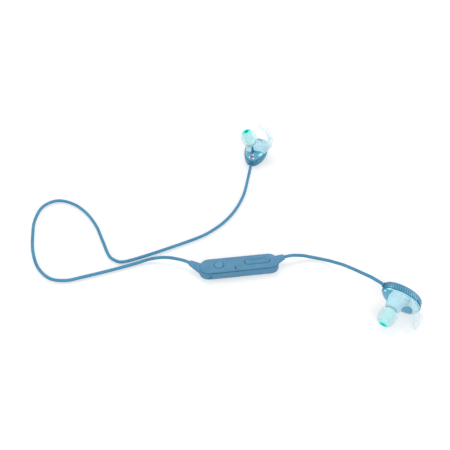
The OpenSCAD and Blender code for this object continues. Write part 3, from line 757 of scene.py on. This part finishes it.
def egg_shaped(piece):
    length = piece.dimensions.y / MM
    share = 2 * SHELL["taper"] * length / SHELL["l"]
    return modified(piece, "SIMPLE_DEFORM", deform_method="TAPER", deform_axis="Y", factor=share,
                    lock_z=True)


def dome_shape(name, grow=0, low=0):
    """The front housing's dome from this height up, grown by this much all over."""
    rim, rise = SHELL["rim"], SHELL["dome"] - SHELL["rim"]
    rings = [oval(SHELL["reveal"] - grow, low), oval(SHELL["reveal"] - grow, rim)]
    for a in quarter(14)[1:]:
        inset = SHELL["reveal"] + SHELL["draw"] * (1 - cos(a)) - grow * cos(a)
        rings.append(oval(inset, rim + (rise + grow) * sin(a)))
    return egg_shaped(stack(name, rings, SHELL["sides"]))

# %% Shell
COVER_RIM = ((0, -1), (0, -0.16), (0.05, -0.06), (0.16, 0), (1, 0), (1.05, -3.6))

cover_rings = [oval(SHELL["edge"] * (1 - sin(a)), SHELL["edge"] * (1 - cos(a)) - SHELL["cover"])
               for a in quarter(9)]
cover_rings += [oval(*ring) for ring in COVER_RIM]
cover = egg_shaped(stack("shell_back", cover_rings, SHELL["sides"]))
both(smooth(cover, 40), FIXED, "earbud_cover", cover_plastic, "back_cover")

housing = dome_shape("shell_front")
both(smooth(housing, 50), FIXED, "earbud_housing", lacquer, "front_housing")

# %% [markdown]
# ## Earbuds: grip band
# A teal band runs round the shell, and its long sides are ribbed for the fingers. The band is the
# wall of an oval stack without its two end faces, and a copy of it keeps only every second face on
# the sides. Solidify thickens the band inward, as the ground of the grooves, and the copy outward,
# as the ribs. The band is painted darker than the ribs, as painted shade in the grooves.

# %% Grip band
BAND = {"low": -1.7, "high": 0.9, "over": 0.04, "deep": 0.36, "ribs": 56, "proud": 0.25,
        "reach": 10}


def bearing(face):
    """Direction of the face, seen from the middle of the shell."""
    middle = face.calc_center_median()
    return atan2(middle.y, middle.x)


rims = [oval(-BAND["over"], BAND[end]) for end in ("low", "high")]
band = egg_shaped(stack("grip_band", rims, 2 * BAND["ribs"]))
with editing(band):
    pick(band, "faces", lambda f: at_height(BAND["low"])(f) or at_height(BAND["high"])(f))
    bpy.ops.mesh.delete(type="FACE")
ribs = copied(band, "grip_ribs")
with editing(ribs):
    mesh = bmesh.from_edit_mesh(ribs.data)
    round_about = sorted(mesh.faces, key=bearing)
    kept = {f.index for f in round_about[::2]
            if abs(f.calc_center_median().y) < BAND["reach"] * MM}
    pick(ribs, "faces", lambda f: f.index not in kept)
    bpy.ops.mesh.delete(type="FACE")
modified(band, "SOLIDIFY", thickness=BAND["deep"] * MM, offset=-1)
modified(ribs, "SOLIDIFY", thickness=BAND["proud"] * MM, offset=1)
# The band wears the darker lacquer, which paints shade into the grooves between the ribs.
both(smooth(band, 40), FIXED, "earbud_housing", painted_shade_groove_lacquer, None)
both(smooth(ribs, 30), FIXED, "earbud_housing", rib_lacquer, None)

# %% Neck and nozzle
NECK = ((3.2, 0), (3.2, 6.1), (3.12, 6.25), (3, 6.3), (2.4, 6.3), (2.4, 12.1), (2.34, 12.25),
        (2.2, 12.3), (1.9, 12.3), (1.9, 11.8))

neck = moved(stack("neck", [(r, r, z) for r, z in NECK]), NOZZLE)
both(smooth(neck, 40), FIXED, "earbud_housing", neck_plastic, "front_housing")

# %% [markdown]
# ## Earbuds: cable bushing and side marker
# A dark rubber bushing closes the cover round the cable. Things that are round about an axis are
# turned, as on a lathe: half of the outline is drawn point by point and spun through a full turn.

# %% Turning
def lathe(name, outline, steps):
    """Spins a closed outline of (radius, height) points about Z."""
    bpy.ops.mesh.primitive_plane_add(size=MM)
    piece = added(name)
    with editing(piece, "VERT"):
        bpy.ops.mesh.select_all(action="SELECT")
        bpy.ops.mesh.merge(type="CENTER")
        bpy.ops.transform.translate(value=(outline[0][0] * MM, 0, outline[0][1] * MM))
        for (r, z), (r1, z1) in zip(outline, outline[1:] + outline[:1]):
            step = ((r1 - r) * MM, 0, (z1 - z) * MM)
            bpy.ops.mesh.extrude_region_move(TRANSFORM_OT_translate={"value": step})
        bpy.ops.mesh.select_all(action="SELECT")
        bpy.ops.mesh.remove_doubles(threshold=1e-7)
        bpy.ops.mesh.spin(steps=steps, angle=2 * pi, center=(0, 0, 0), axis=(0, 0, 1))
        bpy.ops.mesh.select_all(action="SELECT")
        bpy.ops.mesh.remove_doubles(threshold=1e-7)
        bpy.ops.mesh.normals_make_consistent(inside=False)
    return piece


def arc(centre, radius, first, last, steps):
    """Points of a circular arc, angles in degrees."""
    angles = [radians(first + (last - first) * k / steps) for k in range(steps + 1)]
    return [(centre[0] + radius * cos(a), centre[1] + radius * sin(a)) for a in angles]

# %% Bushing
BUSHING = [(0.98, 1.5), (0.98, 0.25), *arc((1.2, 0.22), 0.22, 180, 270, 3),
           *arc((1.38, 0.22), 0.22, 270, 360, 4), (1.6, 3.9), (0.98, 3.9)]

bushing = lathe("bushing", BUSHING, 40)
moved(bushing, placed((0, -SHELL["l"] / 2 - 0.4, -2), (-90, 0, 0)))
both(smooth(bushing, 40), FIXED, "dark_rubber", bushing_rubber, "cable_bushing")

# %% Side marker
MARKER_TURN = radians(44)  # how far up the dome's curve the marker sits
MARKER_SINK = 0.45
AXIS = 0.001  # points on the axis keep this far off it

rise, draw = SHELL["dome"] - SHELL["rim"], SHELL["draw"]
marker = lathe("right_red_marker", [(AXIS, 0.62), (0.6, 0.6), *arc((1.02, 0.42), 0.18, 80, 0, 4),
                                    (1.2, 0), (AXIS, 0)], 40)
lean = atan2(rise * cos(MARKER_TURN), draw * sin(MARKER_TURN))
spot = (0, SHELL["reveal"] + draw * (1 - cos(MARKER_TURN)) - SHELL["l"] / 2,
        SHELL["rim"] + rise * sin(MARKER_TURN))
moved(marker, EARBUD["right"] @ placed(spot) @ Matrix.Rotation(lean, 4, "X")
      @ placed((0, 0, -MARKER_SINK)))
smooth(marker, 40)
hand_over(marker, "earphones", "side_marker", marker_paint, "right_side_marker")

# %% [markdown]
# ## Ear tips
# An ear tip is a thin silicone dome on a coloured core that grips the nozzle. Both are turned. The
# dome's outline bulges from the skirt to its widest place and closes in a superellipse, which is
# rounder than a plain ellipse.

# %% Silicone finishes
CLEAR = "e2fcff"  # tone of silicone where it is clearest


def silicone(name, colour, rough):
    """Milky silicone. The mesh's own attribute says how much light it holds back at each place."""
    finish = Finish(name, ior=1.41, specular_ior_level=0.5)
    milk, cloud, grain = finish.attribute("milk"), finish.noise(4 * MM), finish.noise(0.3 * MM, 2)
    thick = finish.spread(milk + 0.2 * cloud, 0.2, 1)
    return finish.set(base_color=finish.blend(thick, CLEAR, colour),
                      alpha=milk + 0.05 * cloud,
                      roughness=rough + 0.1 * grain,
                      normal=finish.bump(grain, 0.006 * MM, 0.3))


def milky(piece, amount):
    """Writes the share of light that the piece holds back at each vertex."""
    milk = piece.data.attributes.new("milk", "FLOAT", "POINT")
    for vertex, share in zip(piece.data.vertices, milk.data):
        share.value = amount(vertex.co / MM)


dome_silicone = silicone("ear_tip_domes", "c8fdff", rough=0.3)
fin_silicone = silicone("ear_fins", "c6f2ff", rough=0.34)

core_silicone = Finish("ear_tip_cores", specular_ior_level=0.4)
deepness = core_silicone.attribute("milk")
cloud, grain = core_silicone.noise(3 * MM), core_silicone.noise(0.25 * MM, 2)
core_silicone.set(base_color=core_silicone.blend(deepness + 0.1 * cloud, "d6fbff", "0cf0e2"),
                  roughness=0.3 + 0.15 * grain,
                  normal=core_silicone.bump(grain, 0.006 * MM, 0.3))
print("silicone finishes made")

# %% Outline of the ear tips
TIP = {"r": 5.5, "l": 9.8, "wall": 0.7, "draw": 0.07, "core": 3.15, "hole": 1.4, "skirt": 0.33,
       "drop": 0.3, "dome_z": 7.0, "core_z": 6.5}
BELLY, POWER = 0.4 * 9.8, 2.4  # the widest place, and the power of the superellipse


def tip_radius(z, r, l):
    if z < BELLY:
        return r * (1 - TIP["draw"] * (1 - z / BELLY) ** 2)
    return r * (1 - ((z - BELLY) / (l - BELLY)) ** POWER) ** (1 / POWER)


def tip_height(radius, r, l):
    return BELLY + (l - BELLY) * (1 - (radius / r) ** POWER) ** (1 / POWER)


def tip_wall(r, l):
    """Points up the wall, from above the skirt to the core, and the height where it ends."""
    top = tip_height(TIP["core"], r, l)
    heights = [top * sin(a) for a in quarter(16)[1:-1]]
    return [(tip_radius(z, r, l), z) for z in heights] + [(TIP["core"], top)], top

# %% Domes of the ear tips
MILK_OUTSIDE, MILK_INSIDE = 0.34, 0.03

outside, high = tip_wall(TIP["r"], TIP["l"])
within, inner_high = tip_wall(TIP["r"] - TIP["wall"], TIP["l"] - TIP["wall"])
skirt_r = tip_radius(0, TIP["r"], TIP["l"]) - TIP["skirt"]
skirt = arc((skirt_r, -TIP["drop"]), TIP["skirt"], 180, 360, 6)
dome = lathe("tip_dome", skirt + outside + within[::-1], 72)


def frosted(place):
    """Only the outer face is milky, so that the wall isn't counted twice."""
    half = TIP["wall"] / 2
    middle = tip_radius(min(place.z, inner_high), TIP["r"] - half, TIP["l"] - half)
    return MILK_OUTSIDE if place.xy.length > middle else MILK_INSIDE


milky(dome, frosted)
moved(dome, NOZZLE @ placed((0, 0, TIP["dome_z"])))
both(smooth(dome, 50), PULLED, "tip_silicone", dome_silicone, "ear_tip_dome")

# %% Cores of the ear tips
step = TIP["dome_z"] - TIP["core_z"]
core_top = high + step
end_face = [(r, tip_height(r, TIP["r"], TIP["l"]) + step) for r in (2.9, 2.5, 2.1, 1.75)]
core = lathe("tip_core", [(2.45, 0), (TIP["core"], 0), (TIP["core"], core_top), *end_face,
                          *arc((1.6, core_top + 0.38), 0.2, 90, 180, 4),
                          (TIP["hole"], 6.3), (2.45, 6.0)], 48)


def deep(place):
    """The core's end deepens in colour towards its hole."""
    if place.z > core_top - 0.6 or place.xy.length < 2.3:
        return min(1, (3.5 - place.xy.length) / 1.5)
    return 0.6 * (place.z / core_top) ** 1.5


milky(core, deep)
moved(core, NOZZLE @ placed((0, 0, TIP["core_z"])))
both(smooth(core, 40), PULLED, "tip_core", core_silicone, "ear_tip_core")

# %% [markdown]
# ## Ear fins
# The fin is one moulding of soft, milky silicone: a collar round the neck, a shoulder, and a wing
# that hooks over the far end of the shell. The solid has the right form but hard creases where its
# shapes meet. A merged copy of it gets a thin apron that lies on the dome, an open arch between
# collar and wing, and on the right a slot in the collar and a shoulder that is cut back. It is then
# remeshed and smoothed, which lets the shapes flow into each other as they do in a silicone mould.
# Last, the wing is thickened towards its end, where it is also the clearest.

# %% Shapes that are joined to the fins and cut from them
ARCH = {"centre": (7, 2.3, 11.7), "radii": (3.5, 2.9), "length": 24}
ARCH_ACROSS, ARCH_OVER = Vector((0.568, 0.795, -0.216)), Vector((0.414, -0.517, -0.747))


def apron():
    """A thin skirt of the fin that lies on the dome under the wing."""
    piece = cut(dome_shape("apron", grow=0.6, low=0.2), dome_shape("room", grow=0.06, low=0.2))
    patch = rounded_block("patch", (6.4, 12.5, 5), corner=2, low=2.4, centre=(6, 4.25))
    return combined(piece, "INTERSECT", patch)


def arch():
    """An oval bar that opens the arch between collar and wing."""
    bpy.ops.mesh.primitive_cylinder_add(vertices=48, radius=MM, depth=ARCH["length"] * MM)
    axes = Matrix((ARCH_ACROSS, ARCH_OVER, ARCH_ACROSS.cross(ARCH_OVER))).transposed().to_4x4()
    flattened = Matrix.Diagonal((*ARCH["radii"], 1, 1))
    return moved(added("arch"), placed(ARCH["centre"]) @ axes @ flattened)


def trims(side):
    """What is cut from a fin. Only the right one has the slot and the cut-back shoulder."""
    tools = [arch()]
    if side == "right":
        tools.append(rounded_block("slot", (5, 5, 9), corner=0.9, low=2.5, centre=(0.8, -8)))
        clearing = rounded_block("clearing", (16, 8, 9), corner=2, low=0.5, centre=(4, -4))
        tools.append(moved(clearing, placed((3.1, -5.3, 0), (0, 0, 26))))
    return [moved(tool, EARBUD[side]) for tool in tools]

# %% Fins
FIN = {"voxel": 0.17, "passes": 8, "start": 6, "span": 11, "thicker": 0.7}
MILK_COLLAR, MILK_LOST = 0.9, 0.69


def flowing_copy(node, name, extra, tools):
    """A merged copy of the solid, joined to the extra, trimmed by the tools and made to flow."""
    piece = copied(frame["nodes"][node], name)
    bpy.ops.object.parent_clear(type="CLEAR_KEEP_TRANSFORM")
    for key in list(piece.keys()):
        del piece[key]
    with editing(piece, "VERT"):
        bpy.ops.mesh.select_all(action="SELECT")
        bpy.ops.mesh.remove_doubles(threshold=1e-6)
    combined(piece, "UNION", extra)
    cut(piece, *tools)
    modified(piece, "REMESH", mode="VOXEL", voxel_size=FIN["voxel"] * MM)
    modified(piece, "SMOOTH", factor=0.5, iterations=FIN["passes"])
    only(piece)
    bpy.ops.object.shade_smooth()
    return piece


for side, matrix in EARBUD.items():
    fin = flowing_copy(f"{side}_ear_fin", f"{side}_fin", moved(apron(), matrix), trims(side))
    collar = matrix @ NOZZLE.translation / MM

    def reach(place):
        """From 0 at the collar to 1 at the wing's end."""
        return min(1, max(0, (place - collar).length - FIN["start"]) / FIN["span"])

    outward = [vertex.normal.copy() for vertex in fin.data.vertices]
    for vertex, aside in zip(fin.data.vertices, outward):
        aside.z = max(0, aside.z)
        vertex.co += aside * FIN["thicker"] * MM * reach(vertex.co / MM)
    fin.data.update()
    milky(fin, lambda place: MILK_COLLAR - MILK_LOST * reach(place))
    hand_over(fin, "earphones", "soft_silicone", fin_silicone, f"{side}_ear_fin")

# %% [markdown]
# ## Pieces inside
# The board, the battery, the port and the drivers stay as solids, because their plain shapes are
# right. Each still gets a finish of its own, so that an opened flap or a tip that is pulled off
# shows metal and mesh and not grey.

# %% Finishes of the inner pieces
def inner(name, dark, light, rough, metal=0.0, grain=0.4, depth=0.01):
    finish = Finish(name)
    cloud = finish.noise(grain * MM, 3)
    return finish.set(base_color=finish.mottle(cloud, dark, light),
                      metallic=metal,
                      roughness=rough + 0.15 * cloud,
                      normal=finish.bump(cloud, depth * MM, 0.4))


INNER = {
    "circuit_board": inner("board_green", "12402a", "1c5236", 0.3),
    "battery_foil": inner("battery_foil", "b4b6ba", "cdcfd2", 0.28, 0.9, grain=1.2, depth=0.03),
    "sheet_metal": inner("plated_steel", "b0b1b4", "c9cacd", 0.24, 1.0, grain=0.5, depth=0.004),
    "black_plastic": inner("black_plastic", "15171a", "212428", 0.45),
    "switch_body": inner("switch_grey", "3c4044", "50555a", 0.5),
    "ceramic_white": inner("antenna_ceramic", "d6d2c6", "e4e1d8", 0.35),
    "gold_can": inner("gold_can", "c9a24a", "dcb963", 0.26, 1.0),
    "magnet": inner("nickel", "8b8d91", "a5a7ab", 0.3, 1.0),
    "copper_wire": inner("coil_copper", "a8562c", "c46f3d", 0.34, 0.9, grain=0.12, depth=0.02),
    "film": inner("driver_film", "c4c6ca", "d6d8dc", 0.22),
    "fine_mesh": inner("nozzle_mesh", "20262a", "4a5258", 0.4, 0.8, grain=0.15, depth=0.03),
}
slots = {part["node"]: part["material_slot"] for part in frame["record"]["subparts"]}
for name, node in frame["nodes"].items():
    if not node.hide_render:
        dress(node, INNER[slots[name]])
print("inner solids dressed:", sum(not n.hide_render for n in frame["nodes"].values()))

# %% [markdown]
# ## Table and light
# The picture has a white table under a softbox above and behind the object, which gives the lacquer
# its lights, with smaller ones at both sides and in front. The floor is a pale diffuse white that
# also glows a little for the camera and for mirror rays, more so far away, so that the background
# is white while the object keeps its faint shadow. World and lamps together light a white sheet to
# about 1, so colours render as written.

# %% Nodes for floor and world
def computed(tree, operation, first, second):
    """The output of a Math node with these two inputs."""
    node = tree.nodes.new("ShaderNodeMath")
    node.operation = operation
    tree.links.new(first, node.inputs[0])
    tree.links.new(second, node.inputs[1])
    return node.outputs[0]


def faded(tree, value, start, end, kind="LINEAR"):
    """Runs from start to end, which are given as (value, strength)."""
    node = tree.nodes.new("ShaderNodeMapRange")
    node.interpolation_type = kind
    numbers = (start[0], end[0], start[1], end[1])
    for socket, number in zip(("From Min", "From Max", "To Min", "To Max"), numbers):
        node.inputs[socket].default_value = number
    tree.links.new(value, node.inputs["Value"])
    return node.outputs[0]


def background_ray(tree):
    """Is 1 for the rays that show the background: from the camera, off a mirror, through glass."""
    path = tree.nodes.new("ShaderNodeLightPath").outputs
    seen = path["Is Camera Ray"]
    for name in ("Is Glossy Ray", "Is Transmission Ray"):
        seen = computed(tree, "MAXIMUM", seen, path[name])
    return seen

# %% Floor
FLOOR_SIZE, FLOOR_Z = 6, -0.0005
FLOOR_WHITE = (0.6, 0.6, 0.6, 1)

bpy.ops.mesh.primitive_plane_add(size=FLOOR_SIZE, location=(0, 0, FLOOR_Z))
floor = added("table")
table = bpy.data.materials.new("white_table")
table.use_nodes = True
tree = table.node_tree
nodes, links = tree.nodes, tree.links
nodes.clear()
diffuse, glow = nodes.new("ShaderNodeBsdfDiffuse"), nodes.new("ShaderNodeEmission")
diffuse.inputs["Color"].default_value = FLOOR_WHITE
coordinates, away = nodes.new("ShaderNodeTexCoord"), nodes.new("ShaderNodeVectorMath")
away.operation = "LENGTH"
links.new(coordinates.outputs["Object"], away.inputs[0])
lift = faded(tree, away.outputs["Value"], start=(0.2, 0.5), end=(1.2, 0.95))
links.new(computed(tree, "MULTIPLY", background_ray(tree), lift), glow.inputs["Strength"])
both_shaders, output = nodes.new("ShaderNodeAddShader"), nodes.new("ShaderNodeOutputMaterial")
links.new(diffuse.outputs[0], both_shaders.inputs[0])
links.new(glow.outputs[0], both_shaders.inputs[1])
links.new(both_shaders.outputs[0], output.inputs["Surface"])
floor.data.materials.append(table)
print("floor:", floor.name)

# %% World
world = bpy.data.worlds.new("studio")
bpy.context.scene.world = world
world.use_nodes = True
tree = world.node_tree
background = tree.nodes["Background"]
background.inputs["Color"].default_value = (1, 1, 1, 1)
direction, parts = tree.nodes.new("ShaderNodeTexCoord"), tree.nodes.new("ShaderNodeSeparateXYZ")
tree.links.new(direction.outputs["Generated"], parts.inputs[0])
sky = faded(tree, parts.outputs["Z"], start=(0.2, 0.95), end=(0.6, 0.28), kind="SMOOTHSTEP")
strength = computed(tree, "MAXIMUM", background_ray(tree), sky)
tree.links.new(strength, background.inputs["Strength"])
print("world:", world.name)

# %% Lamps
AIM = Vector((0, 0.02, 0))
LAMPS = {  # place and size in metres, power in watts
    "top": ((-0.04, 0.47, 0.88), (0.55, 0.6), 3.0),
    "right": ((0.97, 0.2, 0.3), (0.6, 0.6), 2.6),
    "left": ((-0.95, 0.1, 0.45), (0.4, 0.4), 2.2),
    "front": ((0.1, -0.95, 0.6), (0.5, 0.5), 4.8),
}
for name, (place, size, power) in LAMPS.items():
    bpy.ops.object.light_add(type="AREA", location=place)
    lamp = bpy.context.object
    lamp.name = name
    lamp.data.shape = "RECTANGLE"
    lamp.data.size, lamp.data.size_y, lamp.data.energy = *size, power
    lamp.rotation_euler = (AIM - Vector(place)).to_track_quat("-Z", "Y").to_euler()
print("lamps:", list(LAMPS))

# %% [markdown]
# ## View transform
# The view transform is plain, so that the colours come out as written.

# %% View transform
bpy.context.scene.view_settings.view_transform = "Standard"
bpy.context.view_layer.update()
